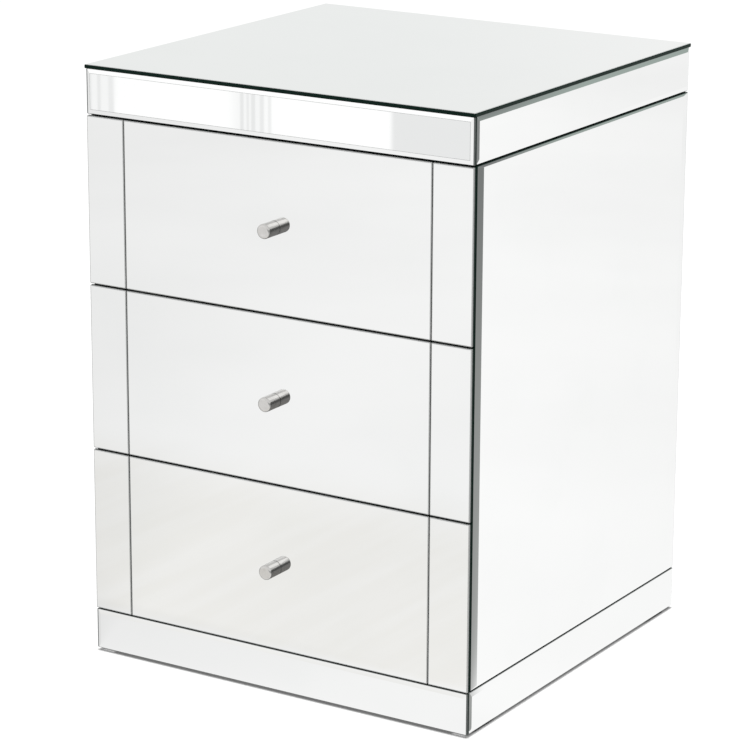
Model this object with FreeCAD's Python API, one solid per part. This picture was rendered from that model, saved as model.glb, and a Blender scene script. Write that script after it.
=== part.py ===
"""Mirrored nightstand: a fibreboard carcass faced with mirrored glass, and drawers on telescopic runners.

Millimetres. +Z is up, the drawers open along -Y and +X is to the right of someone facing them.
The origin is on the floor, midway between the sides and midway between the knob tips and the back.
"""
import FreeCAD, Part
import os

from FreeCAD import Vector

# Overall sizes
WIDTH = 450.0            # across the top plate
DEPTH = 440.0            # from the drawer glass to the back
HEIGHT = 620.0           # floor to the top of the plate

# Glass
GLASS = 4.0              # thickness of every mirror
PLATE_OVERHANG = 1.0     # top plate past the front and side mirrors
ARRIS = 1.2              # small ground edge of the flat panes
STRIP_BEVEL = 5.0        # width of the bevel on the frieze and plinth mirrors
SIDE_BEVEL = 12.0        # width of the bevel on the upright edges of the side mirrors
SIDE_END_BEVEL = 3.0     # width of the bevel on their upper and lower edges
BEVEL_DEPTH = 0.9        # how far a bevel falls back from the face of the pane
END_MIRROR = 45.0        # width of the narrow mirrors at the ends of a drawer front
SEAM = 0.5               # joint between two mirrors of one drawer front

# Carcass
BOARD = 15.0             # fibreboard of the carcass and the drawer fronts
BACK_BOARD = 5.0         # thickness of the back board
PLINTH_TOP = 46.0        # floor to the upper edge of the plinth mirrors
FRIEZE_HEIGHT = 46.0     # height of the frieze mirrors
RAIL_DEPTH = 60.0        # front rails, front to back
GLIDE_HEIGHT = 3.0
GLIDE_LENGTH = 40.0
GLIDE_WIDTH = 12.0
GLIDE_SETBACK = 12.0     # glide end to the end of its side board

# Gaps that show
PLINTH_GAP = 1.2         # plinth to the glass above it
DRAWER_GAP = 1.5         # between drawer fronts, and under the frieze
FRONT_GAP = 2.0          # drawer glass to the front edges of the carcass

# Drawers, from the lowest up
DRAWERS = ("bottom", "middle", "top")
FRONT_BOARD_GAP = 2.0    # drawer front board to the carcass round it
BOX_SIDE = 12.0          # thickness of the box sides and the box back
BOX_BOTTOM = 5.0         # thickness of the box bottom
BOX_RISE = 6.0           # lower edge of the front board to the lower edge of the box
BOX_DROP = 29.0          # upper edge of the front board to the upper edge of the box
BOX_BACK_ROOM = 31.0     # box to the back board
BOTTOM_RISE = 10.0       # lower edge of the box to its bottom
GROOVE_DEPTH = 6.0       # groove that holds the box bottom
GROOVE_GAP = 0.25        # room round the box bottom in its groove

# Telescopic runners
RUNNER_SPACE = 12.7      # room for a runner between the box and the carcass
RUNNER_HEIGHT = 45.0     # across the cabinet member
RUNNER_STEEL = 1.2       # sheet thickness
RUNNER_GAP = 0.3         # between one member and the next
RUNNER_SETBACK = 2.0     # front board to the front of the runners
RUNNER_SHORT = 35.0      # by how much a runner is shorter than the box

# Knobs and their screws
KNOB_DIAMETER = 15.0
KNOB_LENGTH = 19.0
KNOB_RIM = 2.5           # radius of the rounded rim
KNOB_SCREW_BITE = 10.0   # length of the screw inside the knob
KNOB_BORE_SPARE = 2.0    # bore past the tip of the screw
KNOB_SCREW = 4.0         # shank diameter
KNOB_SCREW_HEAD = 8.0
KNOB_SCREW_HEAD_HEIGHT = 2.4
KNOB_SCREW_HEAD_ROUND = 1.0
THREAD_GAP = 0.1         # radial room between a screw and the piece that it holds in
BOARD_HOLE_GAP = 0.3     # radial room round the knob screw in the board
GLASS_HOLE_GAP = 1.0     # radial room round the knob screw in the glass

# Back board screws
BACK_SCREWS = 4          # on each side
BACK_SCREW = 3.5         # shank diameter
BACK_SCREW_HEAD = 7.0
BACK_SCREW_SINK = 2.2    # depth of the countersunk head
BACK_SCREW_LENGTH = 25.0
BACK_SCREW_END = 40.0    # last screw to the end of the board

# Bumpers
BUMPER_DIAMETER = 8.0
BUMPER_INSET = 12.0      # centre to the upper or lower edge of the drawer glass
BUMPER_GAP = 0.2         # to the closed drawer glass

# Planes that the pieces share
front = -(DEPTH + KNOB_LENGTH) / 2 + KNOB_LENGTH
back = front + DEPTH
glass_back = front + GLASS
carcass_front = glass_back + FRONT_GAP
carcass_back = back - BACK_BOARD
glass_half = WIDTH / 2 - PLATE_OVERHANG
carcass_half = glass_half - GLASS
inner_half = carcass_half - BOARD
plate_under = HEIGHT - GLASS
frieze_under = plate_under - FRIEZE_HEIGHT
top_board_under = plate_under - BOARD
base_under = PLINTH_TOP - BOARD
drawer_zone = PLINTH_TOP + PLINTH_GAP
drawer_pitch = (frieze_under - drawer_zone) / len(DRAWERS)
drawer_glass = drawer_pitch - DRAWER_GAP

# Drawer planes, with heights counted from the lower edge of the drawer glass
board_back = glass_back + BOARD
board_half = inner_half - FRONT_BOARD_GAP
board_low = (BOARD - DRAWER_GAP) / 2 + FRONT_BOARD_GAP
board_high = drawer_glass - board_low
box_half = inner_half - RUNNER_SPACE
box_inner_half = box_half - BOX_SIDE
box_low = board_low + BOX_RISE
box_high = board_high - BOX_DROP
box_back = carcass_back - BOX_BACK_ROOM
bottom_low = box_low + BOTTOM_RISE
bottom_high = bottom_low + BOX_BOTTOM
runner_front = board_back + RUNNER_SETBACK
runner_back = runner_front + (box_back - board_back) - RUNNER_SHORT
knob_level = drawer_glass / 2


def span(x_low, x_high, y_low, y_high, z_low, z_high):
    """A box from its limits along X, Y and Z."""
    return Part.makeBox(x_high - x_low, y_high - y_low, z_high - z_low, Vector(x_low, y_low, z_low))


def rod(radius, start, length):
    """A cylinder that runs along +Y from its start point."""
    return Part.makeCylinder(radius, length, Vector(*start), Vector(0, 1, 0))


def pane(low, high, axis, side, bevel, fall, end_bevel=None):
    """A sheet of glass whose outer face is bevelled all round.

    axis is 0, 1 or 2 for a face square to X, Y or Z, and side is 1 or -1 for the way that it looks.
    The bevel is that wide, and it falls back by fall from the outer face. It can have a width of its
    own at the ends, which are the edges at the limits of the last axis that lies in the face.
    """
    outer = high[axis] if side > 0 else low[axis]
    rear = low[axis] if side > 0 else high[axis]
    across, along = [i for i in range(3) if i != axis]

    def outline(level, inset, end_inset):
        corners = []
        for a, b in ((0, 0), (1, 0), (1, 1), (0, 1)):
            point = [0.0, 0.0, 0.0]
            point[axis] = level
            point[across] = high[across] - inset if a else low[across] + inset
            point[along] = high[along] - end_inset if b else low[along] + end_inset
            corners.append(Vector(*point))
        return Part.makePolygon(corners + corners[:1])

    shoulder = outline(outer - side * fall, 0, 0)
    face = outline(outer, bevel, bevel if end_bevel is None else end_bevel)
    sheet = Part.makeLoft([outline(rear, 0, 0), shoulder], True, True)
    facet = Part.makeLoft([shoulder, face], True, True)
    return sheet.fuse(facet).removeSplitter()


def channel(web, lip, half, level, y_low, y_high):
    """A C section along Y: an upright web at x = web, with two flanges that reach to x = lip."""
    inward = RUNNER_STEEL if lip > web else -RUNNER_STEEL
    outline = (
        (web, -half), (lip, -half), (lip, -half + RUNNER_STEEL), (web + inward, -half + RUNNER_STEEL),
        (web + inward, half - RUNNER_STEEL), (lip, half - RUNNER_STEEL), (lip, half), (web, half),
    )
    corners = [Vector(x, y_low, level + z) for x, z in outline]
    section = Part.Face(Part.makePolygon(corners + corners[:1]))
    return section.extrude(Vector(0, y_high - y_low, 0))


def turned(profile, level):
    """A solid turned about the line along Y at x = 0 and z = level, from edges drawn in the XY plane."""
    solid = Part.Face(Part.Wire(profile)).revolve(Vector(0, 0, 0), Vector(0, 1, 0), 360)
    solid.translate(Vector(0, 0, level))
    return solid


def round_headed(radius, rim, y_base, y_tip):
    """The profile of a cylinder from y_base to y_tip with a rounded rim at the tip."""
    way = 1 if y_tip > y_base else -1
    bend = rim * (1 - 0.5 ** 0.5)
    return [
        Part.LineSegment(Vector(0, y_base, 0), Vector(radius, y_base, 0)).toShape(),
        Part.LineSegment(Vector(radius, y_base, 0), Vector(radius, y_tip - way * rim, 0)).toShape(),
        Part.Arc(
            Vector(radius, y_tip - way * rim, 0),
            Vector(radius - bend, y_tip - way * bend, 0),
            Vector(radius - rim, y_tip, 0),
        ).toShape(),
        Part.LineSegment(Vector(radius - rim, y_tip, 0), Vector(0, y_tip, 0)).toShape(),
        Part.LineSegment(Vector(0, y_tip, 0), Vector(0, y_base, 0)).toShape(),
    ]


def mirrored_pair(make):
    """Two separate solids, one for each side: make is given 1 for the right and -1 for the left."""
    return Part.makeCompound([make(side) for side in (-1, 1)])


def spread(low, high, count):
    """Evenly spaced places from low to high."""
    return [low + (high - low) * i / (count - 1) for i in range(count)]


def back_screw(x, z, room):
    """A countersunk screw from the back, or with room its hole."""
    radius = BACK_SCREW / 2 + room
    head = Part.makeCone(
        BACK_SCREW_HEAD / 2 + room, radius, BACK_SCREW_SINK, Vector(x, back, z), Vector(0, -1, 0)
    )
    shank = rod(radius, (x, back - BACK_SCREW_LENGTH - room, z), BACK_SCREW_LENGTH + room - BACK_SCREW_SINK)
    return head.fuse(shank).removeSplitter()


def make_carcass():
    """The fibreboard boards, the back board and its screws."""
    screw_levels = spread(GLIDE_HEIGHT + BACK_SCREW_END, top_board_under - BACK_SCREW_END, BACK_SCREWS)
    screw_line = inner_half + BOARD / 2
    places = [(side * screw_line, z) for side in (-1, 1) for z in screw_levels]
    holes = Part.makeCompound([back_screw(x, z, THREAD_GAP) for x, z in places])

    def side_board(side):
        low, high = sorted((side * inner_half, side * carcass_half))
        return span(low, high, carcass_front, carcass_back, GLIDE_HEIGHT, top_board_under).cut(holes)

    pieces = {
        "left_side_board": side_board(-1),
        "right_side_board": side_board(1),
        "top_board": span(-carcass_half, carcass_half, glass_back, back, top_board_under, plate_under),
        "base_board": span(-inner_half, inner_half, glass_back, carcass_back, base_under, PLINTH_TOP),
        "frieze_board": span(-inner_half, inner_half, glass_back, board_back, frieze_under, top_board_under),
        "plinth_front_board": span(-inner_half, inner_half, glass_back, board_back, GLIDE_HEIGHT, base_under),
        "plinth_back_board": span(
            -inner_half, inner_half, carcass_back - BOARD, carcass_back, GLIDE_HEIGHT, base_under
        ),
        "back_board": span(
            -carcass_half, carcass_half, carcass_back, back, GLIDE_HEIGHT, top_board_under
        ).cut(holes),
        "back_board_screws": Part.makeCompound([back_screw(x, z, 0) for x, z in places]),
    }
    for name, below in (("lower_rail", 1), ("upper_rail", 2)):
        low = drawer_zone + below * drawer_pitch - (DRAWER_GAP + BOARD) / 2
        pieces[name] = span(
            -inner_half, inner_half, carcass_front, carcass_front + RAIL_DEPTH, low, low + BOARD
        )
    return pieces


def make_mirrors():
    """The mirrors that are glued to the carcass."""
    plate = pane(
        (-WIDTH / 2, front - PLATE_OVERHANG, plate_under), (WIDTH / 2, back, HEIGHT), 2, 1, ARRIS, ARRIS
    )
    pieces = {"top_mirror_plate": plate}
    bands = {
        "frieze": (frieze_under, plate_under),
        "plinth": (GLIDE_HEIGHT, PLINTH_TOP),
    }
    for band, (low, high) in bands.items():
        pieces["front_" + band + "_mirror"] = pane(
            (-glass_half, front, low), (glass_half, glass_back, high), 1, -1, STRIP_BEVEL, BEVEL_DEPTH
        )
    for side, word in ((-1, "left"), (1, "right")):
        x_low, x_high = sorted((side * carcass_half, side * glass_half))
        for band, (low, high) in bands.items():
            pieces[word + "_" + band + "_mirror"] = pane(
                (x_low, glass_back, low), (x_high, back, high), 0, side, STRIP_BEVEL, BEVEL_DEPTH
            )
        pieces[word + "_side_mirror"] = pane(
            (x_low, carcass_front, drawer_zone),
            (x_high, back, frieze_under - DRAWER_GAP),
            0, side, SIDE_BEVEL, BEVEL_DEPTH, SIDE_END_BEVEL,
        )
    return pieces


def make_glides():
    """Four plastic pads under the side boards."""
    pads = []
    centre = inner_half + BOARD / 2
    for x in (-centre, centre):
        for y in (carcass_front + GLIDE_SETBACK, carcass_back - GLIDE_SETBACK - GLIDE_LENGTH):
            pad = span(x - GLIDE_WIDTH / 2, x + GLIDE_WIDTH / 2, y, y + GLIDE_LENGTH, 0, GLIDE_HEIGHT)
            pads.append(pad)
    return {"foot_glides": Part.makeCompound(pads)}


def make_bumpers():
    """Soft dots on the front edges of the side boards, which the drawer glass closes against."""
    dots = []
    thickness = FRONT_GAP - BUMPER_GAP
    for i in range(len(DRAWERS)):
        floor = drawer_zone + i * drawer_pitch
        for z in (floor + BUMPER_INSET, floor + drawer_glass - BUMPER_INSET):
            for x in (-inner_half - BOARD / 2, inner_half + BOARD / 2):
                dots.append(rod(BUMPER_DIAMETER / 2, (x, carcass_front - thickness, z), thickness))
    return {"drawer_bumpers": Part.makeCompound(dots)}


def runner_level(floor):
    """The middle of a drawer's runners."""
    return floor + (box_low + box_high) / 2


def cabinet_member(side, floor):
    """The outer channel of a runner, screwed to the side board."""
    lip = box_half + RUNNER_STEEL + RUNNER_GAP
    half = RUNNER_HEIGHT / 2
    return channel(side * inner_half, side * lip, half, runner_level(floor), runner_front, runner_back)


def travelling_member(side, floor):
    """The channel that travels between the outer and the inner one."""
    web = inner_half - RUNNER_STEEL - RUNNER_GAP
    lip = box_half + RUNNER_STEEL + RUNNER_GAP
    half = RUNNER_HEIGHT / 2 - RUNNER_STEEL - RUNNER_GAP
    return channel(side * web, side * lip, half, runner_level(floor), runner_front, runner_back)


def drawer_member(side, floor):
    """The inner channel, screwed to the side of the drawer box."""
    lip = inner_half - 2 * (RUNNER_STEEL + RUNNER_GAP)
    half = RUNNER_HEIGHT / 2 - 2 * (RUNNER_STEEL + RUNNER_GAP)
    return channel(side * box_half, side * lip, half, runner_level(floor), runner_front, runner_back)


def make_cabinet_runners():
    """The runner members that stay in the carcass."""
    floors = [drawer_zone + i * drawer_pitch for i in range(len(DRAWERS))]
    return {
        word + "_cabinet_runners": Part.makeCompound([cabinet_member(side, floor) for floor in floors])
        for side, word in ((-1, "left"), (1, "right"))
    }


def make_drawer_front(floor):
    """The front board, its three mirrors, the knob and the knob's screw."""
    knob_z = floor + knob_level
    shank = KNOB_SCREW / 2
    groove = span(
        -box_inner_half - GROOVE_DEPTH, box_inner_half + GROOVE_DEPTH, board_back - GROOVE_DEPTH, board_back,
        floor + bottom_low - GROOVE_GAP, floor + bottom_high + GROOVE_GAP,
    )
    board = span(-board_half, board_half, glass_back, board_back, floor + board_low, floor + board_high)
    board_hole = rod(shank + BOARD_HOLE_GAP, (0, glass_back, knob_z), BOARD)
    pieces = {"front_board": board.cut(groove).cut(board_hole)}

    seam = glass_half - END_MIRROR
    limits = {
        "left_mirror": (-glass_half, -seam),
        "centre_mirror": (-seam + SEAM, seam - SEAM),
        "right_mirror": (seam, glass_half),
    }
    for name, (x_low, x_high) in limits.items():
        pieces[name] = pane(
            (x_low, front, floor), (x_high, glass_back, floor + drawer_glass), 1, -1, ARRIS, ARRIS
        )
    glass_hole = rod(shank + GLASS_HOLE_GAP, (0, front, knob_z), GLASS)
    pieces["centre_mirror"] = pieces["centre_mirror"].cut(glass_hole)

    knob = turned(round_headed(KNOB_DIAMETER / 2, KNOB_RIM, front, front - KNOB_LENGTH), knob_z)
    bore_depth = KNOB_SCREW_BITE + KNOB_BORE_SPARE
    pieces["knob"] = knob.cut(rod(shank + THREAD_GAP, (0, front - bore_depth, knob_z), bore_depth))
    head_top = board_back + KNOB_SCREW_HEAD_HEIGHT
    head = turned(round_headed(KNOB_SCREW_HEAD / 2, KNOB_SCREW_HEAD_ROUND, board_back, head_top), knob_z)
    screw_tip = front - KNOB_SCREW_BITE
    thread = rod(shank, (0, screw_tip, knob_z), board_back - screw_tip)
    pieces["knob_screw"] = head.fuse(thread).removeSplitter()
    return pieces


def make_drawer_box(floor):
    """The box sides, back and bottom. The bottom slides into grooves from behind, under the box back."""
    low, high = floor + box_low, floor + box_high
    bottom_half = box_inner_half + GROOVE_DEPTH - GROOVE_GAP
    bottom_front = board_back - GROOVE_DEPTH + GROOVE_GAP

    def box_side(side):
        x_low, x_high = sorted((side * box_inner_half, side * box_half))
        groove_low, groove_high = sorted((side * box_inner_half, side * (box_inner_half + GROOVE_DEPTH)))
        groove = span(
            groove_low, groove_high, board_back, box_back,
            floor + bottom_low - GROOVE_GAP, floor + bottom_high + GROOVE_GAP,
        )
        return span(x_low, x_high, board_back, box_back, low, high).cut(groove)

    return {
        "left_side": box_side(-1),
        "right_side": box_side(1),
        "back": span(
            -box_inner_half, box_inner_half, box_back - BOX_SIDE, box_back, floor + bottom_high, high
        ),
        "bottom": span(
            -bottom_half, bottom_half, bottom_front, box_back, floor + bottom_low, floor + bottom_high
        ),
    }


def make_drawer(word, floor):
    """All the pieces of one drawer, with the runner members that travel."""
    pieces = make_drawer_front(floor)
    pieces.update(make_drawer_box(floor))
    pieces["runners"] = mirrored_pair(lambda side: drawer_member(side, floor))
    named = {word + "_drawer_" + name: solid for name, solid in pieces.items()}
    named[word + "_travelling_runners"] = mirrored_pair(lambda side: travelling_member(side, floor))
    return named


os.makedirs("parts", exist_ok=True)
nightstand = {}
nightstand.update(make_carcass())
nightstand.update(make_mirrors())
nightstand.update(make_glides())
nightstand.update(make_bumpers())
nightstand.update(make_cabinet_runners())
for index, drawer in enumerate(DRAWERS):
    nightstand.update(make_drawer(drawer, drawer_zone + index * drawer_pitch))
for node, shape in nightstand.items():
    shape.exportStep("parts/" + node + ".step")
print(len(nightstand), "pieces, drawer glass", drawer_glass, "mm high, box", box_back - board_back, "mm deep")
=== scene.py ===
import math

import bpy
import numpy as np
from mathutils import Matrix, Vector


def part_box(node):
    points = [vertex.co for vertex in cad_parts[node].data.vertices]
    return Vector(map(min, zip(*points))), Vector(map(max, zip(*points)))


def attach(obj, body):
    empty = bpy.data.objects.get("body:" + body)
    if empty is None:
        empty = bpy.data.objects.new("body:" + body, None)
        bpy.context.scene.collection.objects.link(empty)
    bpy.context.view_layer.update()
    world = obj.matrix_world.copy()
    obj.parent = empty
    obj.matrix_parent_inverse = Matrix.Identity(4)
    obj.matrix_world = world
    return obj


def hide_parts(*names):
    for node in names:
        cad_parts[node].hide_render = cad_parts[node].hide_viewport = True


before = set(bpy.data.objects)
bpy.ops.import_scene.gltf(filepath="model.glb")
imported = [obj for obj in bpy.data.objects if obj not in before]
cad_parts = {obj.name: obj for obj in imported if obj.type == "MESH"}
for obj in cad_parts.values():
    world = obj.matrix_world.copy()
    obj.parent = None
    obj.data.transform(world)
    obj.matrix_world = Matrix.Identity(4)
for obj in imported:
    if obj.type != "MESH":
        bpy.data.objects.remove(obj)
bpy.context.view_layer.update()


# Carcass boards
# Fibreboard, sawn, glued and dowelled into a cabinet, then sprayed with satin silver-grey lacquer.
# The boards show inside the open drawer bays and in the gaps between the mirrors.

class Shade:
    """One output of a shader node. Sums, differences and products of values add Math nodes to its tree."""

    def __init__(self, tree, socket=None):
        self.tree = tree
        self.socket = socket

    def node(self, kind, settings, inputs, output=0):
        """Adds a node and returns one of its outputs. Its settings are set before its values and links."""
        made = self.tree.nodes.new("ShaderNode" + kind)
        for name, value in settings.items():
            setattr(made, name, value)
        for name, value in inputs.items():
            if isinstance(value, Shade):
                self.tree.links.new(value.socket, made.inputs[name])
            else:
                made.inputs[name].default_value = value
        return Shade(self.tree, made.outputs[output] if len(made.outputs) else None)

    def maths(self, operation, first, second=0.0):
        """One Math node, for the operators below and for what Python has no sign for."""
        return self.node("Math", {"operation": operation}, {0: first, 1: second})

    def __add__(self, other):
        return self.maths("ADD", self, other)

    def __radd__(self, other):
        return self.maths("ADD", other, self)

    def __sub__(self, other):
        return self.maths("SUBTRACT", self, other)

    def __rsub__(self, other):
        return self.maths("SUBTRACT", other, self)

    def __mul__(self, other):
        return self.maths("MULTIPLY", self, other)

    def __rmul__(self, other):
        return self.maths("MULTIPLY", other, self)


def node_material(name, shader):
    """A material made of nodes: shader is given the tree and returns what the output shows."""
    material = bpy.data.materials.new(name)
    material.use_nodes = True
    material.node_tree.nodes.clear()
    tree = Shade(material.node_tree)
    tree.node("OutputMaterial", {}, {"Surface": shader(tree)})
    return material


def finish(name, describe):
    """A surface material: describe is given the tree and returns the inputs of the surface shader."""
    return node_material(name, lambda tree: tree.node("BsdfPrincipled", {}, describe(tree)))


def coordinate(tree, axis):
    """How far a place lies along X, Y or Z."""
    where = tree.node("TexCoord", {}, {}, "Object")
    return tree.node("SeparateXYZ", {}, {"Vector": where}, axis)


def facing(tree, axis):
    """How much a face looks along X, Y or Z: 1 straight along it, and -1 straight against it."""
    normal = tree.node("NewGeometry", {}, {}, "Normal")
    return tree.node("SeparateXYZ", {}, {"Vector": normal}, axis)


def grain(tree, scale, detail=3.0, stretch=(1.0, 1.0, 1.0)):
    """Noise in the piece's own coordinates, finer along the axes that are stretched more."""
    where = tree.node("TexCoord", {}, {}, "Object")
    mapped = tree.node("Mapping", {}, {"Vector": where, "Scale": stretch})
    return tree.node("TexNoise", {}, {"Vector": mapped, "Scale": scale, "Detail": detail}, "Fac")


def between(tree, share, low, high):
    """The colour that lies that share of the way from low to high."""
    return tree.node("Mix", {"data_type": "RGBA"}, {0: share, 6: low, 7: high}, 2)


def ramp(tree, value, low, high):
    """0 where the value is under low and 1 where it is over high, with a smooth rise between them."""
    settings = {"interpolation_type": "SMOOTHSTEP"}
    return tree.node("MapRange", settings, {"Value": value, "From Min": low, "From Max": high})


def bump(tree, height, strength, distance):
    """The normal of a face that stands out by the height, from 0 to 1, times the distance."""
    return tree.node("Bump", {}, {"Height": height, "Strength": strength, "Distance": distance})


LACQUER_METAL = 0.35


def silver_lacquer(tree):
    """Metal flake is a very fine noise, orange peel a coarser one, and scuffs the peaks of a broad one."""
    flake = grain(tree, 2600.0, 1.0)
    peel = grain(tree, 420.0, 2.0)
    scuff = ramp(tree, grain(tree, 38.0, 6.0), 0.62, 0.74)
    tone = between(tree, flake, (0.38, 0.38, 0.372, 1), (0.52, 0.52, 0.51, 1))
    return {
        "Base Color": between(tree, 0.35 * scuff, tone, (0.60, 0.60, 0.59, 1)),
        "Metallic": LACQUER_METAL,
        "Roughness": 0.36 + 0.14 * flake + 0.10 * scuff,
        "Normal": bump(tree, peel, 0.12, 0.0003),
    }


def dress(node, material):
    """Gives a CAD node, whose shape is kept, its finish."""
    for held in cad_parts[node].material_slots:
        held.material = material


side_low, side_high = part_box("right_side_board")


def lacquer_with_painted_gap_shade(tree):
    """Silver lacquer, with painted shade in black on the front edges and the outer faces, behind the glass.

    A face of a side board is an outer one where its place along X, times how much it faces along X, comes
    close to the half width of the carcass.
    """
    inputs = silver_lacquer(tree)
    outwards = coordinate(tree, "X") * facing(tree, "X")
    outer = ramp(tree, outwards, 0.90 * side_high.x, 0.95 * side_high.x)
    front = ramp(tree, -1 * facing(tree, "Y"), 0.6, 0.8)
    # Painted shade: black where the boards show through the gaps between the mirrors, so the gaps read
    # dark.
    painted_gap_shade = tree.maths("MAXIMUM", outer, front)
    inputs["Base Color"] = between(tree, painted_gap_shade, inputs["Base Color"], (0.012, 0.012, 0.013, 1))
    inputs["Metallic"] = LACQUER_METAL * (1 - painted_gap_shade)
    return inputs


carcass_paint = finish("lacquer_with_painted_gap_shade", lacquer_with_painted_gap_shade)
for board in (
    "left_side_board", "right_side_board", "top_board", "base_board", "frieze_board",
    "plinth_front_board", "plinth_back_board", "lower_rail", "upper_rail",
):
    dress(board, carcass_paint)


# Back board
# A thin sheet of fibreboard with matt grey paint rolled on, let in between the mirrors at the back and
# held to the side boards by countersunk screws with a cross recess.

def rolled_paint(tree):
    """Roller stipple over pressed fibres: a fine noise on a longer one that runs upwards."""
    stipple = grain(tree, 700.0, 2.0)
    fibre = grain(tree, 160.0, 5.0, (1.0, 1.0, 0.12))
    cloud = grain(tree, 7.0, 4.0)
    tone = between(tree, fibre, (0.24, 0.24, 0.24, 1), (0.36, 0.36, 0.355, 1))
    return {
        "Base Color": between(tree, 0.4 * cloud, tone, (0.27, 0.268, 0.26, 1)),
        "Roughness": 0.62 + 0.2 * stipple,
        "Specular IOR Level": 0.35,
        "Normal": bump(tree, 0.6 * stipple + 0.4 * fibre, 0.22, 0.0004),
    }


dress("back_board", finish("rolled_grey_paint", rolled_paint))


def shell(rings, looped=False):
    """A closed skin over rings of points: quads join each ring to the next, and a face caps each end.

    If it is looped, the last ring joins the first instead. The skin is turned over if its faces point
    inwards, which the sum of each quad's area vector times its place tells.
    """
    rows, columns = rings.shape[:2]
    row, column = np.meshgrid(np.arange(rows if looped else rows - 1), np.arange(columns), indexing="ij")
    following = (row + 1) % rows
    beside = (column + 1) % columns
    corners = [row * columns + column, row * columns + beside]
    corners += [following * columns + beside, following * columns + column]
    quads = np.stack(corners, -1).reshape(-1, 4)
    caps = [] if looped else [np.arange(columns)[::-1], (rows - 1) * columns + np.arange(columns)]
    points = rings.reshape(-1, 3)
    area = np.cross(points[quads[:, 2]] - points[quads[:, 0]], points[quads[:, 3]] - points[quads[:, 1]])
    way = 1 if (area * (points[quads].mean(1) - points.mean(0))).sum() > 0 else -1
    return points, [face[::way] for face in [*quads, *caps]]


def put(name, points, faces, material):
    """Adds an object at the origin, with a mesh of those points and faces."""
    mesh = bpy.data.meshes.new(name)
    mesh.from_pydata(np.asarray(points).tolist(), [], faces)
    mesh.materials.append(material)
    made = bpy.data.objects.new(name, mesh)
    bpy.context.scene.collection.objects.link(made)
    return made


def place(name, shells, body, material, nodes, smooth=None, marks=None):
    """Makes one piece of closed skins: it rides on its body and stands for its CAD nodes.

    smooth is the angle in degrees up to which neighbouring faces shade as one curve. marks names lists of
    values, one for each face, that the finish reads.
    """
    starts = np.cumsum([0] + [len(points) for points, _ in shells])
    faces = [(face + start).tolist() for (_, skin), start in zip(shells, starts) for face in skin]
    piece = put(name, np.concatenate([points for points, _ in shells]), faces, material)
    if smooth is not None:
        piece.data.polygons.foreach_set("use_smooth", np.ones(len(faces), bool))
        piece.data.set_sharp_from_angle(angle=math.radians(smooth))
    for mark, values in (marks or {}).items():
        attribute = piece.data.attributes.new(mark, "FLOAT", "FACE")
        attribute.data.foreach_set("value", values.astype(np.float32))
    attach(piece, body)
    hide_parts(*nodes)


def zinc_plate(tree):
    """Bright zinc: a cellular spangle in the tone, and fine rolling lines along Y in the roughness."""
    where = tree.node("TexCoord", {}, {}, "Object")
    cell = tree.node("TexVoronoi", {}, {"Vector": where, "Scale": 240.0}, "Color")
    spangle = tree.node("SeparateColor", {}, {"Color": cell}, "Red")
    rolled = grain(tree, 900.0, 3.0, (1.0, 0.03, 1.0))
    return {
        "Base Color": between(tree, spangle, (0.57, 0.59, 0.62, 1), (0.68, 0.70, 0.71, 1)),
        "Metallic": 1.0,
        "Roughness": 0.24 + 0.10 * rolled + 0.06 * spangle,
        "Normal": bump(tree, rolled, 0.05, 0.0001),
    }


CROSS_ARM = 0.17
CROSS_ARM_SLOPE = 0.06
CROSS_REACH = 0.62
CROSS_REACH_SLOPE = 0.08


def screw_head(centre, radius, dome, depth, recess, sides=40, rows=11):
    """Rings of a screw head whose face looks along Y.

    The face is a dome that falls with the square of the distance from the middle, where a small flat closes
    it. A cross of two bars, in shares of the radius and with sloping walls, is sunk into it. Below the rim
    the head runs in to a shank of half its radius.
    """
    turn = np.linspace(0, 2 * np.pi, sides, endpoint=False)
    reach = np.linspace(0.04, 1.0, rows)
    across = np.outer(reach, np.cos(turn))
    up = np.outer(reach, np.sin(turn))
    arm = np.clip((CROSS_ARM - np.minimum(abs(across), abs(up))) / CROSS_ARM_SLOPE, 0, 1)
    end = np.clip((CROSS_REACH - np.maximum(abs(across), abs(up))) / CROSS_REACH_SLOPE, 0, 1)
    rings = np.empty((rows + 2, sides, 3))
    rings[:rows, :, 0] = centre[0] + radius * across
    rings[:rows, :, 1] = centre[1] + dome * (1 - reach[:, None] ** 2) - recess * arm * end
    rings[:rows, :, 2] = centre[2] + radius * up
    rings[rows:] = rings[rows - 1]
    rings[rows:, :, 1] = centre[1] - depth
    rings[rows + 1, :, 0] = centre[0] + radius / 2 * np.cos(turn)
    rings[rows + 1, :, 2] = centre[2] + radius / 2 * np.sin(turn)
    return rings


BACK_SCREW_HEAD = 0.0035
BACK_SCREW_SINK = 0.0003
BACK_SCREW_DOME = 0.0002
BACK_SCREW_DEPTH = 0.0018
BACK_SCREW_RECESS = 0.0012
BACK_SCREW_END = 0.040
BACK_SCREWS = 4
screw_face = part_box("back_board_screws")[1].y - BACK_SCREW_SINK
back_low, back_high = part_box("back_board")
screw_line = (side_low.x + side_high.x) / 2
back_screws = []
for x in (-screw_line, screw_line):
    for z in np.linspace(back_low.z + BACK_SCREW_END, back_high.z - BACK_SCREW_END, BACK_SCREWS):
        back_screws.append(shell(screw_head(
            (x, screw_face, z), BACK_SCREW_HEAD, BACK_SCREW_DOME, BACK_SCREW_DEPTH, BACK_SCREW_RECESS
        )))
plated_steel = finish("zinc_plate", zinc_plate)
place(
    "back_board_screw_heads", back_screws, "cabinet", plated_steel,
    ["back_board_screws"], smooth=35,
)


# Foot glides
# Pads of matt black plastic, pinned under the ends of the side boards so that the glass of the plinth
# stays clear of the floor.

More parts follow.
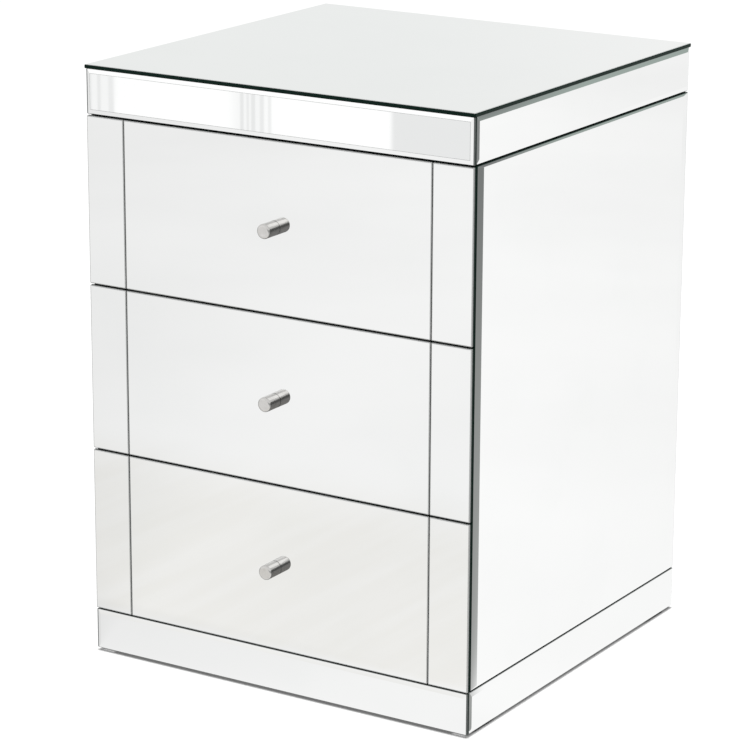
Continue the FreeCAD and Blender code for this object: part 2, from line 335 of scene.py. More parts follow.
def moulded_plastic(tree):
    """Spark-eroded mould texture, rubbed smoother in patches."""
    pit = grain(tree, 1500.0, 2.0)
    rub = ramp(tree, grain(tree, 60.0, 4.0), 0.5, 0.7)
    return {
        "Base Color": between(tree, rub, (0.085, 0.085, 0.087, 1), (0.13, 0.13, 0.13, 1)),
        "Roughness": 0.62 - 0.18 * rub,
        "Normal": bump(tree, pit, 0.2, 0.0002),
    }


def rectangle_rings(low, high, axis, side, inset, rise, corner, end_inset=None, steps=4):
    """Rings of points round a flat piece, from its back to its face.

    Each ring is a rectangle whose sides are drawn in by inset, with a quarter circle of points at each
    corner. It lies rise above the back of the piece, on the way along the axis that side gives. The ends,
    at the limits of the last axis in the face, may be drawn in by an inset of their own.
    """
    across, along = [i for i in range(3) if i != axis]
    end_inset = np.array(inset if end_inset is None else end_inset)[:, None]
    inset, rise = np.array(inset)[:, None], np.array(rise)[:, None]
    turn = (np.linspace(0, np.pi / 2, steps) + np.arange(4)[:, None] * np.pi / 2).ravel()
    radius = np.maximum(corner - np.minimum(inset, end_inset), 0.1 * corner)
    middle, half = (low + high) / 2, (high - low) / 2
    right = np.repeat([1, -1, -1, 1], steps)
    top = np.repeat([1, 1, -1, -1], steps)
    rings = np.empty((len(inset), 4 * steps, 3))
    rings[..., across] = middle[across] + right * (half[across] - inset - radius) + radius * np.cos(turn)
    rings[..., along] = middle[along] + top * (half[along] - end_inset - radius) + radius * np.sin(turn)
    rings[..., axis] = low[axis] + rise if side > 0 else high[axis] - rise
    return rings


def quarter_round(radius, steps=4):
    """How far a rounded edge stands in and down, from the side of the piece up to its face."""
    turn = np.linspace(0, np.pi / 2, steps)
    return radius * (1 - np.cos(turn)), radius * (1 - np.sin(turn))


def eased_slab(low, high, axis, ease):
    """Rings of a board or pad: straight sides, with a quarter round along the edges of both faces."""
    inset, fall = quarter_round(ease)
    rise = np.concatenate([fall[::-1], high[axis] - low[axis] - fall])
    return rectangle_rings(low, high, axis, 1, np.concatenate([inset[::-1], inset]), rise, 2 * ease)


GLIDE_LENGTH = 0.040
GLIDE_EASE = 0.0012
glide_low, glide_high = (np.array(corner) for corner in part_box("foot_glides"))
glide_width = 2 * (glide_high[0] - screw_line)
glides = []
for x in (-screw_line, screw_line):
    for y in (glide_low[1], glide_high[1] - GLIDE_LENGTH):
        pad_low = np.array([x - glide_width / 2, y, glide_low[2]])
        pad_high = np.array([x + glide_width / 2, y + GLIDE_LENGTH, glide_high[2]])
        glides.append(shell(eased_slab(pad_low, pad_high, 2, GLIDE_EASE)))
place(
    "foot_glide_pads", glides, "cabinet", finish("moulded_black_plastic", moulded_plastic),
    ["foot_glides"], smooth=40,
)


# Carcass mirrors
# Silvered float glass, cut to size and glued to the boards. The strips of the frieze and the plinth are
# bevelled all round, and so are the side panes, with a wide bevel upright and a narrow one at the ends. The
# top plate has a polished edge. Where the silver stops, the glass shows its dark green edge.

BACK_ARRIS = 0.0004
EDGE_ARRIS = 0.0006
UPRIGHT_ARRIS = 0.0016
PLATE_ARRIS = 0.0012
STRIP_BEVEL = 0.005
SIDE_BEVEL = 0.012
SIDE_END_BEVEL = 0.003
BEVEL_FALL = 0.0009
BEVEL_CREASE = 0.0004
# Below 1, this silver share paints a dark line along the front frieze's crease.
PAINTED_CREASE_LINE_SILVER = 0.6
ARRIS_SILVER = 0.62
STRIP_ARRIS_SILVER = 0.24
CUT_CORNER = 0.0010


def silvered_glass(tree):
    """Silver on the faces marked as silvered, grey paint on those marked as backed, else the glass edge.

    The silver has a faint cloud of polishing haze, and the edge has saw and polishing marks along it. The
    backing paint is curtain coated, and dries with a fine speckle.
    """
    silvered = tree.node("Attribute", {"attribute_name": "silvered"}, {}, "Fac")
    backed = tree.node("Attribute", {"attribute_name": "backed"}, {}, "Fac")
    speckle = grain(tree, 800.0, 2.0)
    haze = ramp(tree, grain(tree, 9.0, 5.0), 0.45, 0.75)
    polish = grain(tree, 900.0, 3.0, (0.2, 0.2, 0.2))
    silver = between(tree, haze, (0.841, 0.845, 0.843, 1), (0.831, 0.837, 0.834, 1))
    green = between(tree, polish, (0.002, 0.010, 0.007, 1), (0.006, 0.030, 0.021, 1))
    paint = between(tree, speckle, (0.15, 0.158, 0.16, 1), (0.22, 0.228, 0.23, 1))
    edge_polish = 0.10 + 0.10 * polish + backed * (0.30 + 0.15 * speckle)
    return {
        "Base Color": between(tree, backed, between(tree, silvered, green, silver), paint),
        "Metallic": silvered,
        "Roughness": silvered * (0.012 + 0.014 * haze) + (1 - silvered) * edge_polish,
        "Specular IOR Level": 0.05,
    }


def bevelled(bevel, end_bevel, silvered):
    """In from the upright edges and the ends of a pane, down from its face, and the silver of each band.

    A fine arris is followed by a flat bevel, and by a narrow crease where the bevel meets the face.
    """
    inset = np.array([0, UPRIGHT_ARRIS, bevel - BEVEL_CREASE, bevel])
    end_inset = np.array([0, EDGE_ARRIS, end_bevel - BEVEL_CREASE, end_bevel])
    start = BEVEL_FALL * (1 - EDGE_ARRIS / end_bevel)
    fall = np.array([start + EDGE_ARRIS, start, BEVEL_FALL * BEVEL_CREASE / bevel, 0])
    return inset, end_inset, fall, silvered


def rounded(arris, silvered):
    """In and down from the edge of a pane whose arris is polished round, and the silver of each band."""
    inset, fall = quarter_round(arris, len(silvered) + 1)
    return inset, inset, fall, silvered


def pane(node, axis, side, edge, hole):
    """The skin of a pane and the marks of its faces: which are silvered, and which hold the backing paint.

    The outline of the CAD pane is carried from its back, over the edge's profile, to the face. hole is the
    radius of a hole drilled through the middle.
    """
    low, high = (np.array(corner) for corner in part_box(node))
    inset, end_inset, fall, silvered = edge
    inset, end_inset = (np.concatenate([[BACK_ARRIS, 0], part]) for part in (inset, end_inset))
    rise = np.concatenate([[0, BACK_ARRIS], high[axis] - low[axis] - fall])
    rings = rectangle_rings(low, high, axis, side, inset, rise, CUT_CORNER, end_inset)
    rows, caps = [0, 0, *silvered], [0, 1]
    backed_rows, backed_caps = [0] * len(rows), [1, 0]
    if hole:
        middle = (low + high) / 2
        rim = rings - middle
        rim[..., axis] = 0
        rim = middle + hole * rim / np.linalg.norm(rim, axis=-1, keepdims=True)
        rim[..., axis] = rings[..., axis]
        rings = np.concatenate([rim[:1], rings, rim[-1:]])
        rows, caps = [0, *rows, 1, 0], []
        backed_rows, backed_caps = [1, *backed_rows, 0, 0], []
    marks = {
        "silvered": np.concatenate([np.repeat(rows, rings.shape[1]), caps]),
        "backed": np.concatenate([np.repeat(backed_rows, rings.shape[1]), backed_caps]),
    }
    return shell(rings, looped=bool(hole)), marks


mirror = finish("silvered_glass", silvered_glass)


def glaze(node, body, axis, side, edge, hole=None):
    """Sets one pane in place of its CAD node."""
    skin, marks = pane(node, axis, side, edge, hole)
    place(node + "_pane", [skin], body, mirror, [node], marks=marks)


glaze("top_mirror_plate", "cabinet", 2, 1, rounded(PLATE_ARRIS, (0, ARRIS_SILVER)))
strip_edge = bevelled(STRIP_BEVEL, STRIP_BEVEL, (STRIP_ARRIS_SILVER, 1, 1))
# Only the front frieze has a partly silvered crease: a painted dark line along it.
frieze_edge_painted_crease = bevelled(STRIP_BEVEL, STRIP_BEVEL, (STRIP_ARRIS_SILVER, 1, PAINTED_CREASE_LINE_SILVER))
side_edge = bevelled(SIDE_BEVEL, SIDE_END_BEVEL, (0, 1, 1))
glaze("front_frieze_mirror", "cabinet", 1, -1, frieze_edge_painted_crease)
glaze("front_plinth_mirror", "cabinet", 1, -1, strip_edge)
for side, hand in ((-1, "left"), (1, "right")):
    glaze(hand + "_frieze_mirror", "cabinet", 0, side, strip_edge)
    glaze(hand + "_plinth_mirror", "cabinet", 0, side, strip_edge)
    glaze(hand + "_side_mirror", "cabinet", 0, side, side_edge)


# Telescopic runners
# Channels rolled from zinc-plated sheet steel. The outer one is screwed to the side board, the inner one
# to the drawer box, and one between them travels half as far as the drawer.

RUNNER_STEEL = 0.0012
RUNNER_BEND = 0.0016
RUNNER_SCREW_HEAD = 0.0032
RUNNER_SCREW_DOME = 0.0009
RUNNER_SCREW_RIM = 0.0002
RUNNER_SCREW_RECESS = 0.0008
DRAWER_SCREWS = (0.12, 0.48, 0.86)
CABINET_SCREWS = (0.06, 0.50, 0.92)


def channel(web, lip, half, level, ends):
    """Rings of a C section along Y: a web at x = web, and flanges that bend round to reach x = lip.

    The outline runs along the outer skin from lip to lip, over a quarter circle at each bend, and back
    along the inner skin, which lies the thickness of the steel inside it.
    """
    way = 1 if lip > web else -1
    turn = np.linspace(0, np.pi / 2, 5)

    def skin(thickness):
        radius = RUNNER_BEND - thickness
        bend_x = web + way * (RUNNER_BEND - radius * np.sin(turn))
        bend_z = half - RUNNER_BEND + radius * np.cos(turn)
        x = np.concatenate([[lip], bend_x, bend_x[::-1], [lip]])
        z = np.concatenate([[half - thickness], bend_z, -bend_z[::-1], [thickness - half]])
        return np.stack([x, z], 1)

    outline = np.concatenate([skin(0), skin(RUNNER_STEEL)[::-1]])
    rings = np.empty((2, len(outline), 3))
    rings[..., 0] = outline[:, 0]
    rings[..., 1] = np.array(ends)[:, None]
    rings[..., 2] = level + outline[:, 1]
    return rings


def runner_screws(face, way, level, ends, shares):
    """Skins of pan-headed screws on a web at x = face, at those shares of its length.

    Each is a screw head that is turned so that what looked along Y looks along X, the way that way says.
    """
    sizes = (RUNNER_SCREW_HEAD, RUNNER_SCREW_DOME, RUNNER_SCREW_RIM, RUNNER_SCREW_RECESS)
    head = screw_head((0, RUNNER_SCREW_RIM, 0), *sizes, 28, 8)
    x = face + way * head[..., 1]
    z = level + head[..., 2]
    middles = [ends[0] + share * (ends[1] - ends[0]) for share in shares]
    return [shell(np.stack([x, middle + way * head[..., 0], z], -1)) for middle in middles]


drawer_words = ("bottom", "middle", "top")
cabinet_low, cabinet_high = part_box("right_cabinet_runners")
cabinet_skins = {"left": [], "right": []}
for word in drawer_words:
    inner_low, inner_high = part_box(word + "_drawer_runners")
    middle_low, middle_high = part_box(word + "_travelling_runners")
    box_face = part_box(word + "_drawer_right_side")[1].x
    level = (inner_low.z + inner_high.z) / 2
    inner_half = (inner_high.z - inner_low.z) / 2
    middle_half = (middle_high.z - middle_low.z) / 2
    outer_half = middle_half + (middle_half - inner_half)
    ends = (inner_low.y, inner_high.y)
    inner_skins = []
    middle_skins = []
    for side, hand in ((-1, "left"), (1, "right")):
        inner_skins.append(shell(channel(side * box_face, side * inner_high.x, inner_half, level, ends)))
        inner_face = side * (box_face + RUNNER_STEEL)
        inner_skins += runner_screws(inner_face, side, level, ends, DRAWER_SCREWS)
        middle = channel(side * middle_high.x, side * cabinet_low.x, middle_half, level, ends)
        middle_skins.append(shell(middle))
        outer = channel(side * cabinet_high.x, side * cabinet_low.x, outer_half, level, ends)
        cabinet_skins[hand].append(shell(outer))
        outer_face = side * (cabinet_high.x - RUNNER_STEEL)
        cabinet_skins[hand] += runner_screws(outer_face, -side, level, ends, CABINET_SCREWS)
    place(
        word + "_drawer_runner_channels", inner_skins, word + "_drawer", plated_steel,
        [word + "_drawer_runners"], smooth=30,
    )
    place(
        word + "_travelling_channels", middle_skins, word + "_runners", plated_steel,
        [word + "_travelling_runners"], smooth=30,
    )
for hand, skins in cabinet_skins.items():
    place(
        hand + "_cabinet_channels", skins, "cabinet", plated_steel,
        [hand + "_cabinet_runners"], smooth=30,
    )


# Drawer bumpers
# Dots of clear soft plastic with a sticky back, pressed onto the front edges of the side boards. The drawer
# glass closes against them.

def clear_dot(tree):
    """Clear moulded plastic, with a little dust held on its tacky face."""
    dust = ramp(tree, grain(tree, 1200.0, 3.0), 0.55, 0.75)
    return {
        "Base Color": between(tree, dust, (0.74, 0.75, 0.75, 1), (0.62, 0.61, 0.59, 1)),
        "Roughness": 0.12 + 0.3 * dust,
        "Transmission Weight": 0.5,
        "IOR": 1.45,
    }


def turned(radius, level, centre, sides=48):
    """Rings of a turned piece: circles of those radii at those places along Y, round a line at centre."""
    turn = np.linspace(0, 2 * np.pi, sides, endpoint=False)
    rings = np.empty((len(radius), sides, 3))
    rings[..., 0] = centre[0] + np.outer(radius, np.cos(turn))
    rings[..., 1] = np.array(level)[:, None]
    rings[..., 2] = centre[1] + np.outer(radius, np.sin(turn))
    return rings


BUMPER_RADIUS = 0.004
BUMPER_INSET = 0.012
bumper_low, bumper_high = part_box("drawer_bumpers")
dome = np.linspace(0.02, 1.0, 7)
dot_radius = BUMPER_RADIUS * np.sin(dome * np.pi / 2)
dot_level = bumper_high.y - (bumper_high.y - bumper_low.y) * np.cos(dome * np.pi / 2)
dots = []
for word in drawer_words:
    glass_low, glass_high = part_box(word + "_drawer_centre_mirror")
    for z in (glass_low.z + BUMPER_INSET, glass_high.z - BUMPER_INSET):
        for x in (-screw_line, screw_line):
            dots.append(shell(turned(dot_radius, dot_level, (x, z), 24)))
place(
    "drawer_bumper_dots", dots, "cabinet", finish("clear_dot", clear_dot),
    ["drawer_bumpers"], smooth=40,
)


# Drawer boxes
# Fibreboard wrapped in grey wood-grain foil: sides with rounded upper edges, grooved for the bottom, and a
# back that stands on the bottom. The bottom is a thin board with a black flocked face.

def grain_foil(tree, axis):
    """Printed grain: long streaks along the board's axis, with fine pores that lie in the streaks."""
    lengthwise = tuple(0.05 if i == axis else 1.0 for i in range(3))
    streak = grain(tree, 55.0, 6.0, lengthwise)
    pore = ramp(tree, grain(tree, 520.0, 2.0, lengthwise), 0.58, 0.70)
    tone = between(tree, streak, (0.24, 0.237, 0.232, 1), (0.40, 0.396, 0.388, 1))
    return {
        "Base Color": between(tree, 0.5 * pore, tone, (0.17, 0.168, 0.165, 1)),
        "Roughness": 0.42 + 0.18 * streak,
        "Normal": bump(tree, 1 - pore, 0.12, 0.0003),
    }


def flocked_face(tree):
    """Upright fibres on the upper face, brushed in broad patches; bare fibreboard on the other faces."""
    upper = ramp(tree, facing(tree, "Z"), 0.4, 0.6)
    fibre = grain(tree, 2200.0, 2.0)
    brushed = grain(tree, 22.0, 4.0)
    pile = between(tree, 0.5 * fibre + 0.5 * brushed, (0.022, 0.022, 0.025, 1), (0.085, 0.085, 0.092, 1))
    return {
        "Base Color": between(tree, upper, (0.30, 0.22, 0.14, 1), pile),
        "Roughness": 0.86 + 0.1 * fibre,
        "Sheen Weight": 0.25,
        "Specular IOR Level": 0.2,
        "Normal": bump(tree, fibre, 0.5, 0.0006),
    }


BOX_EDGE = 0.003
BOX_EASE = 0.001
GROOVE_ROOM = 0.00025


def box_side(side, low, high, groove_depth, groove_low, groove_high):
    """Rings of a box side: its cross section, with the groove and a rounded upper edge, carried along Y."""
    outer, inner = (high[0], low[0]) if side > 0 else (low[0], high[0])
    turn = np.linspace(0, np.pi / 2, 5)
    round_z = high[2] - BOX_EDGE + BOX_EDGE * np.sin(turn)
    round_in = side * BOX_EDGE * (1 - np.cos(turn))
    groove_x = [inner, groove_depth, groove_depth, inner]
    groove_z = [groove_low, groove_low, groove_high, groove_high]
    x = np.concatenate([[outer, inner], groove_x, inner + round_in, outer - round_in[::-1]])
    z = np.concatenate([[low[2], low[2]], groove_z, round_z, round_z[::-1]])
    rings = np.empty((2, len(x), 3))
    rings[..., 0] = x
    rings[..., 1] = np.array([[low[1]], [high[1]]])
    rings[..., 2] = z
    return rings


side_foil = finish("grain_foil_lengthwise", lambda tree: grain_foil(tree, 1))
back_foil = finish("grain_foil_crosswise", lambda tree: grain_foil(tree, 0))
flock = finish("flocked_face", flocked_face)
for word in drawer_words:
    drawer = word + "_drawer"
    bottom_low, bottom_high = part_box(drawer + "_bottom")
    for side, hand in ((-1, "left"), (1, "right")):
        low, high = (np.array(corner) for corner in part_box(drawer + "_" + hand + "_side"))
        groove_x = side * (bottom_high.x + GROOVE_ROOM)
        rings = box_side(side, low, high, groove_x, bottom_low.z - GROOVE_ROOM, bottom_high.z + GROOVE_ROOM)
        place(
            drawer + "_" + hand + "_side_foiled", [shell(rings)], drawer, side_foil,
            [drawer + "_" + hand + "_side"], smooth=30,
        )
    low, high = (np.array(corner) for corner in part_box(drawer + "_back"))
    place(
        drawer + "_back_foiled", [shell(eased_slab(low, high, 1, BOX_EASE))], drawer, back_foil,
        [drawer + "_back"], smooth=30,
    )
    dress(drawer + "_bottom", flock)


# Drawer fronts
# A painted sheet of fibreboard carries three mirrors: a wide one drilled for the knob and a narrow one at
# each end, with ground edges that meet in a fine seam.

FRONT_ARRIS = 0.0012
KNOB_HOLE = 0.003
front_edge = rounded(FRONT_ARRIS, (ARRIS_SILVER, ARRIS_SILVER))
drawer_paint = finish("silver_lacquer", silver_lacquer)
for word in drawer_words:
    drawer = word + "_drawer"
    dress(drawer + "_front_board", drawer_paint)
    for part, hole in (("left", None), ("centre", KNOB_HOLE), ("right", None)):
        glaze(drawer + "_" + part + "_mirror", drawer, 1, -1, front_edge, hole)


# Knobs
# Solid bar, turned with a rounded rim and a fine groove at the foot, then nickel plated. A pan-headed screw
# holds each knob from inside the drawer.

def nickel_plate(tree):
    """Polished plate over a turned blank, whose tool marks run round the knob as fine lines along Y."""
    tool = grain(tree, 1500.0, 2.0, (0.05, 1.0, 0.05))
    breath = ramp(tree, grain(tree, 160.0, 4.0), 0.5, 0.8)
    return {
        "Base Color": between(tree, breath, (0.60, 0.59, 0.575, 1), (0.53, 0.52, 0.505, 1)),
        "Metallic": 1.0,
        "Roughness": 0.10 + 0.08 * tool + 0.06 * breath,
        "Normal": bump(tree, tool, 0.05, 0.0001),
    }


KNOB_GROOVE = 0.0004
KNOB_RIM = 0.0025
KNOB_DISH = 0.0002
KNOB_SHANK = 0.002
KNOB_SCREW_DOME = 0.0007
KNOB_SCREW_RECESS = 0.0011
nickel = finish("nickel_plate", nickel_plate)
for word in drawer_words:
    drawer = word + "_drawer"
    low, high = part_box(drawer + "_knob")
    radius = (high.x - low.x) / 2
    centre = (0.0, (low.z + high.z) / 2)
    rim_in, rim_down = quarter_round(KNOB_RIM, 8)
    dish = np.linspace(1, 0.03, 9)[1:]
    foot = radius - KNOB_GROOVE
    foot_radius = [foot, foot, radius, radius]
    knob_radius = np.concatenate([foot_radius, radius - rim_in, (radius - KNOB_RIM) * dish])
    groove = high.y - KNOB_GROOVE
    foot_level = [high.y, groove, groove, groove - KNOB_GROOVE]
    knob_level = np.concatenate([foot_level, low.y + rim_down, low.y + KNOB_DISH * (1 - dish ** 2)])
    place(
        drawer + "_turned_knob", [shell(turned(knob_radius, knob_level, centre, 72))], drawer, nickel,
        [drawer + "_knob"], smooth=40,
    )
    low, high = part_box(drawer + "_knob_screw")
    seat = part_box(drawer + "_front_board")[1].y
    rim = high.y - KNOB_SCREW_DOME
    head_radius = (high.x - low.x) / 2
    head = screw_head(
        (0.0, rim, centre[1]), head_radius, KNOB_SCREW_DOME, rim - seat, KNOB_SCREW_RECESS
    )
    shank = turned([KNOB_SHANK, KNOB_SHANK], [low.y, seat], centre, 24)
    place(
        drawer + "_pan_head_screw", [shell(head), shell(shank)], drawer, plated_steel,
        [drawer + "_knob_screw"], smooth=35,
    )


# Studio
# A white floor that takes the shadow, a white surround and soft lamps above. The mirrors also see painted
# reflections of a room, glowing cards that nothing else shows: bright windows to the front left, and the
# grey floor and wall of the side that the camera stands on.

def staged(name, points, faces, material):
    """Adds a studio surface as an object at the origin, with those points, faces and material."""
    made = put(name, points, faces, material)
    return made


def scaled(tree, tone, level):
    """That colour times that level."""
    return tree.node("VectorMath", {"operation": "SCALE"}, {0: tone, "Scale": level}, "Vector")


def mirrored(tree):
    """1 for rays that come from a mirror or through glass."""
    glossy = tree.node("LightPath", {}, {}, "Is Glossy Ray")
    return glossy + tree.node("LightPath", {}, {}, "Is Transmission Ray")


def seen_twice(tree):
    """1 in a second reflection, such as bright metal that sees the room by way of a mirror."""
    return tree.maths("GREATER_THAN", tree.node("LightPath", {}, {}, "Glossy Depth"), 1.5)


MIRRORED_TWICE = 0.28


def reflected(tree, tone, level=1.0):
    """A glow of that tone and level in a first reflection, and a duller one in a second."""
    level = level * (1 - (1 - MIRRORED_TWICE) * seen_twice(tree))
    return tree.node("Emission", {}, {"Color": scaled(tree, tone, level)})


room_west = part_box("front_frieze_mirror")[0].x
room_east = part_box("front_frieze_mirror")[1].x
room_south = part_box("front_frieze_mirror")[0].y


def bearing(tree, from_east):
    """The compass angle of a place from one of the front corners: 0 behind it, a half turn in front."""
    east = coordinate(tree, "X") - from_east
    north = coordinate(tree, "Y") - room_south
    turn = tree.maths("ARCTAN2", east, north)
    return turn + 2 * math.pi * tree.maths("LESS_THAN", turn, -math.pi / 2)


def turned_to(tree, turn, start, end):
    """A ramp over bearings that are given in degrees."""
    return ramp(tree, turn, math.radians(start), math.radians(end))


WHITE = (1, 1, 1)
FLOOR_REACH = 40.0
FLOOR_TONE = 0.30
FLOOR_GLOW = 0.86
CONTACT = 0.0038
CONTACT_POWER = 4.0
MIRRORED_FLOOR = 1.062
MIRRORED_BEHIND = -0.053
MIRRORED_RIGHT_FRONT = 0.138
MIRRORED_CLOSE = -0.075
MIRRORED_FRONT_LEFT = -0.09
MIRRORED_LEFT = -0.20
MIRRORED_CLOUD = 0.10
BOARDS_FAR = (-0.68, -0.44)
BOARDS_NEAR = (-0.125, -0.095)


def white_floor(tree):
    """Matt white that takes the shadow, with a glow for the camera. Both fade close under the piece.

    In the mirrors it is a faintly clouded glow. Behind the front of the piece it grows stronger towards the
    right front. It is weaker to the left of the piece, and close before the left part of its front. A band
    of warmer boards, which run front to back, lies a step in front.
    """
    contact = tree.node("AmbientOcclusion", {"samples": 8}, {"Distance": CONTACT}, "AO")
    open_sky = tree.maths("POWER", contact, CONTACT_POWER)
    direct = tree.node("LightPath", {}, {}, "Is Camera Ray")
    matt = tree.node("BsdfDiffuse", {}, {"Color": scaled(tree, WHITE, FLOOR_TONE * open_sky)})
    glow = tree.node("Emission", {}, {"Color": scaled(tree, WHITE, FLOOR_GLOW * direct * open_sky)})
    seen = tree.node("AddShader", {}, {0: matt, 1: glow})

    east = coordinate(tree, "X") - room_east
    north = coordinate(tree, "Y") - room_south
    turn = bearing(tree, room_west)
    behind = ramp(tree, north, -0.04, 0.14)
    right_front = ramp(tree, 0.814 * east - 0.581 * north, -1.1, 0.3)
    before = (1 - behind) * ramp(tree, north, -0.14, -0.10) * (1 - ramp(tree, east, -0.49, -0.05))
    front_left = turned_to(tree, turn, 195, 225)
    left = turned_to(tree, turn, 225, 268)
    back_left = 1 - turned_to(tree, turn, -88, -40)
    level = MIRRORED_FLOOR + MIRRORED_CLOUD * (grain(tree, 1.9, 3.0) - 0.5)
    level = level + behind * (MIRRORED_BEHIND + MIRRORED_RIGHT_FRONT * right_front)
    level = level + MIRRORED_CLOSE * before + MIRRORED_LEFT * back_left
    level = level + MIRRORED_FRONT_LEFT * front_left + (MIRRORED_LEFT - MIRRORED_FRONT_LEFT) * left

    step = ramp(tree, north, *BOARDS_FAR) * (1 - ramp(tree, north, *BOARDS_NEAR))
    boards = step * (0.25 + 1.3 * grain(tree, 24.0, 3.0, (1.0, 0.09, 1.0)))
    tone = between(tree, boards, (1, 1, 0.998, 1), (0.935, 0.926, 0.90, 1))
    shown = reflected(tree, tone, level)
    return tree.node("MixShader", {}, {0: mirrored(tree), 1: seen, 2: shown})


floor_corners = FLOOR_REACH * np.array([[-1, -1, 0], [1, -1, 0], [1, 1, 0], [-1, 1, 0]])
staged("floor", floor_corners, [[0, 1, 2, 3]], node_material("white_floor", white_floor))

SKY_LIGHT = 0.55
world = bpy.data.worlds.new("studio")
bpy.context.scene.world = world
world.use_nodes = True
world.node_tree.nodes.clear()
sky = Shade(world.node_tree)
sky_seen = sky.node("LightPath", {}, {}, "Is Camera Ray") + mirrored(sky)
sky_tone = scaled(sky, WHITE, SKY_LIGHT + (1 - SKY_LIGHT) * sky_seen)
sky.node("OutputWorld", {}, {"Surface": sky.node("Background", {}, {"Color": sky_tone})})


def mirror_card(name, points, faces, light):
    """Stages a card that only mirrors and bright metal show, out of the picture and the lighting."""
    made = staged(name, points, faces, node_material(light.__name__, light))
    made.visible_camera = False
    made.visible_diffuse = False
    made.visible_shadow = False


def cover(tree, share, light):
    """That light over that share of the surface, and nothing over the rest."""
    clear = tree.node("BsdfTransparent", {}, {})
    return tree.node("MixShader", {}, {0: share, 1: clear, 2: light})


def painted_floor_reflection(tree):
    """Painted floor reflection: grey to the back right, paler to the right, and ending in front of the
    piece.

    Further round to the front it starts a hand's breadth from the corner. Both tones darken with distance.
    """
    turn = bearing(tree, room_east)
    east = coordinate(tree, "X") - room_east
    north = coordinate(tree, "Y") - room_south
    where = tree.node("TexCoord", {}, {}, "Object")
    away = tree.node("VectorMath", {"operation": "LENGTH"}, {0: where}, "Value")
    clear = ramp(tree, 0.862 * east - 0.507 * north, 0.06, 0.22)
    share = turned_to(tree, turn, 30, 38) * (1 - turned_to(tree, turn, 130, 170))
    share = share * tree.maths("MAXIMUM", clear, 1 - turned_to(tree, turn, 60, 110))
    dull = between(tree, ramp(tree, away, 0.2, 2.6), (0.36, 0.37, 0.36, 1), (0.22, 0.23, 0.225, 1))
    pale = between(tree, ramp(tree, away, 0.2, 2.8), (0.84, 0.845, 0.84, 1), (0.46, 0.47, 0.468, 1))
    tone = between(tree, turned_to(tree, turn, 48, 78), dull, pale)
    return cover(tree, share, reflected(tree, tone))


def painted_wall_reflection(tree):
    """Grey-green and clear of the floor to the back right, darker above, and pale to the right.

    It is a painted reflection that only mirrors show. It ends in front of the piece, and fades out upwards.
    """
    turn = bearing(tree, room_east)
    height = coordinate(tree, "Z")
    share = turned_to(tree, turn, 12, 20) * (1 - turned_to(tree, turn, 165, 190))
    share = share * (1 - ramp(tree, height, 1.1, 2.2))
    share = share * tree.maths("MAXIMUM", ramp(tree, height, 0.12, 0.18), turned_to(tree, turn, 34, 50))
    dark = ramp(tree, height, 0.50, 0.58) * (0.25 + 0.75 * turned_to(tree, turn, 28.5, 32))
    beside = between(tree, dark, (0.43, 0.51, 0.47, 1), (0.19, 0.19, 0.195, 1))
    tone = between(tree, turned_to(tree, turn, 52, 75), beside, (0.46, 0.47, 0.468, 1))
    return cover(tree, share, reflected(tree, tone))


ROOM_RADIUS = 4.5
ROOM_HEIGHT = 2.2
ROOM_FLOOR_LEVEL = 0.0006
ROOM_START = math.radians(5)
ROOM_END = math.radians(215)
ROOM_STEPS = 70
ROOM_CORNER_GAP = 0.01
room_turn = np.linspace(ROOM_START, ROOM_END, ROOM_STEPS + 1)
room_foot = np.full((ROOM_STEPS + 1, 3), ROOM_FLOOR_LEVEL)
room_foot[:, 0] = ROOM_RADIUS * np.sin(room_turn)
room_foot[:, 1] = ROOM_RADIUS * np.cos(room_turn)
room_head = room_foot + [0, 0, ROOM_HEIGHT]
room_corner = [[room_east + ROOM_CORNER_GAP, room_south - ROOM_CORNER_GAP, ROOM_FLOOR_LEVEL]]
first = np.arange(ROOM_STEPS)
room_fan = np.stack([first, first + 1, np.full(ROOM_STEPS, ROOM_STEPS + 1)], 1).tolist()
room_strip = np.stack([first, first + 1, first + ROOM_STEPS + 2, first + ROOM_STEPS + 1], 1).tolist()
# Glowing cards of painted reflection: a darker room, shown only in the mirrors and the bright metal.
mirror_card("painted_floor_reflection", np.concatenate([room_foot, room_corner]), room_fan, painted_floor_reflection)
mirror_card("painted_wall_reflection", np.concatenate([room_foot, room_head]), room_strip, painted_wall_reflection)


def flat_card(name, west, east, low, high, light):
    """Stages a card that runs east and west. low and high give how far back and how high its edges lie."""
    corners = [(west, *low), (east, *low), (east, *high), (west, *high)]
    mirror_card(name, corners, [[0, 1, 2, 3]], light)


WINDOW_LINE = -2.46
WINDOW_SILL = 0.004
WINDOW_TOP = 1.3
WINDOW_JAMB = (-1.264, -1.250)
WINDOW_BARS = (
    (-1.907, 0.050, 0.45), (-1.928, 0.008, 1.0), (-1.906, 0.007, 1.0), (-1.878, 0.011, 0.9),
    (-1.562, 0.058, 0.40), (-1.580, 0.007, 1.0), (-1.567, 0.005, 0.9), (-1.555, 0.007, 1.3),
    (-1.536, 0.008, 0.9), (-1.519, 0.006, 0.7),
)


def window_light(tree):
    """Daylight, with two groups of upright bars and a grey jamb on the right, which end below the top.

    Each bar is given by its middle, its half width and how dark it is. It fades towards its edges.
    """
    east = coordinate(tree, "X")
    shade = ramp(tree, east, *WINDOW_JAMB)
    for middle, half, depth in WINDOW_BARS:
        aside = tree.maths("ABSOLUTE", east - middle)
        shade = tree.maths("MAXIMUM", shade, depth * (1 - ramp(tree, aside, 0.3 * half, half)))
    low = 1 - ramp(tree, coordinate(tree, "Z"), 0.3, 0.5)
    tone = between(tree, shade * low, (1.2, 1.2, 1.2, 1), (0.955, 0.96, 0.96, 1))
    return tree.node("Emission", {}, {"Color": tone})


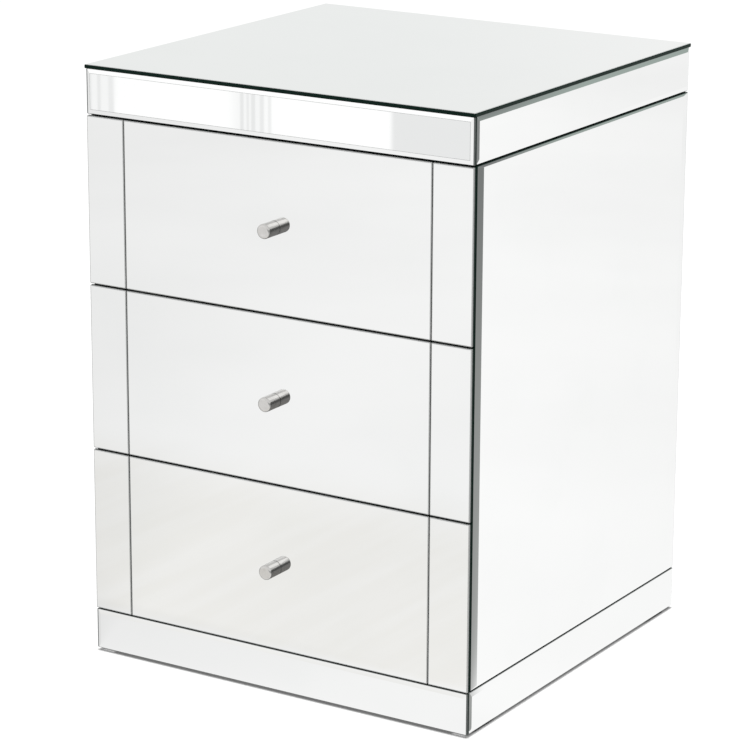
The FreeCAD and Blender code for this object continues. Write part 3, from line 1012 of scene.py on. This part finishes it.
flat_card("windows", -3.2, -0.9, (WINDOW_LINE, WINDOW_SILL), (WINDOW_LINE, WINDOW_TOP), window_light)


def softbox_light(tree):
    """Bright in the knobs, which see it by way of the drawer mirrors, and clear in the mirrors."""
    return cover(tree, seen_twice(tree), tree.node("Emission", {}, {"Color": (1.6, 1.6, 1.6, 1)}))


flat_card("softbox", -0.3, 1.3, (-2.9, 1.75), (-2.4, 2.75), softbox_light)


def back_wall(tree):
    """A shade under white, to the left behind the piece, where the top plate looks."""
    near = ramp(tree, coordinate(tree, "X"), -2.6, -1.2)
    tone = between(tree, near, (0.915, 0.93, 0.922, 1), (0.985, 0.99, 0.985, 1))
    return tree.node("Emission", {}, {"Color": tone})


BACK_WALL_LINE = 4.0
flat_card("back_wall", -6.0, 0.6, (BACK_WALL_LINE, 0.8), (BACK_WALL_LINE, 3.4), back_wall)


def lamp(name, stand, aim, size, power):
    """A square soft lamp that looks from where it stands at a point."""
    data = bpy.data.lights.new(name, "AREA")
    data.shape = "SQUARE"
    data.size = size
    data.energy = power
    made = bpy.data.objects.new(name, data)
    bpy.context.scene.collection.objects.link(made)
    made.location = stand
    made.rotation_euler = (Vector(aim) - Vector(stand)).to_track_quat("-Z", "Y").to_euler()
    made.visible_glossy = False


lamp("key_box", (1.6, 0.9, 2.6), (0.1, 0.0, 0.3), 1.6, 40)
lamp("fill_box", (-1.8, -1.6, 2.2), (0.0, -0.1, 0.3), 1.8, 26)


# Camera
# A long lens, a little above the piece and to the right of it, as the photograph was taken. Its place and
# its angles were fitted to the edges of the piece.

CAMERA_PLACE = (1.6795, -2.7106, 1.2011)
CAMERA_YAW = math.radians(-32.010)
CAMERA_PITCH = math.radians(16.060)
CAMERA_ROLL = math.radians(-0.275)
CAMERA_LENS = 153.24
ahead = np.array([
    math.sin(CAMERA_YAW) * math.cos(CAMERA_PITCH),
    math.cos(CAMERA_YAW) * math.cos(CAMERA_PITCH),
    -math.sin(CAMERA_PITCH),
])
level_right = np.array([math.cos(CAMERA_YAW), -math.sin(CAMERA_YAW), 0.0])
level_down = np.cross(ahead, level_right)
right = math.cos(CAMERA_ROLL) * level_right + math.sin(CAMERA_ROLL) * level_down
down = math.cos(CAMERA_ROLL) * level_down - math.sin(CAMERA_ROLL) * level_right
camera = bpy.data.objects.new("camera", bpy.data.cameras.new("camera"))
bpy.context.scene.collection.objects.link(camera)
camera.data.lens = CAMERA_LENS
camera.data.sensor_width = 36.0
camera.rotation_mode = "QUATERNION"
camera.location = CAMERA_PLACE
camera.rotation_quaternion = Matrix(np.stack([right, -down, -ahead], 1).tolist()).to_quaternion()
bpy.context.scene.camera = camera
bpy.context.scene.view_settings.view_transform = "Standard"
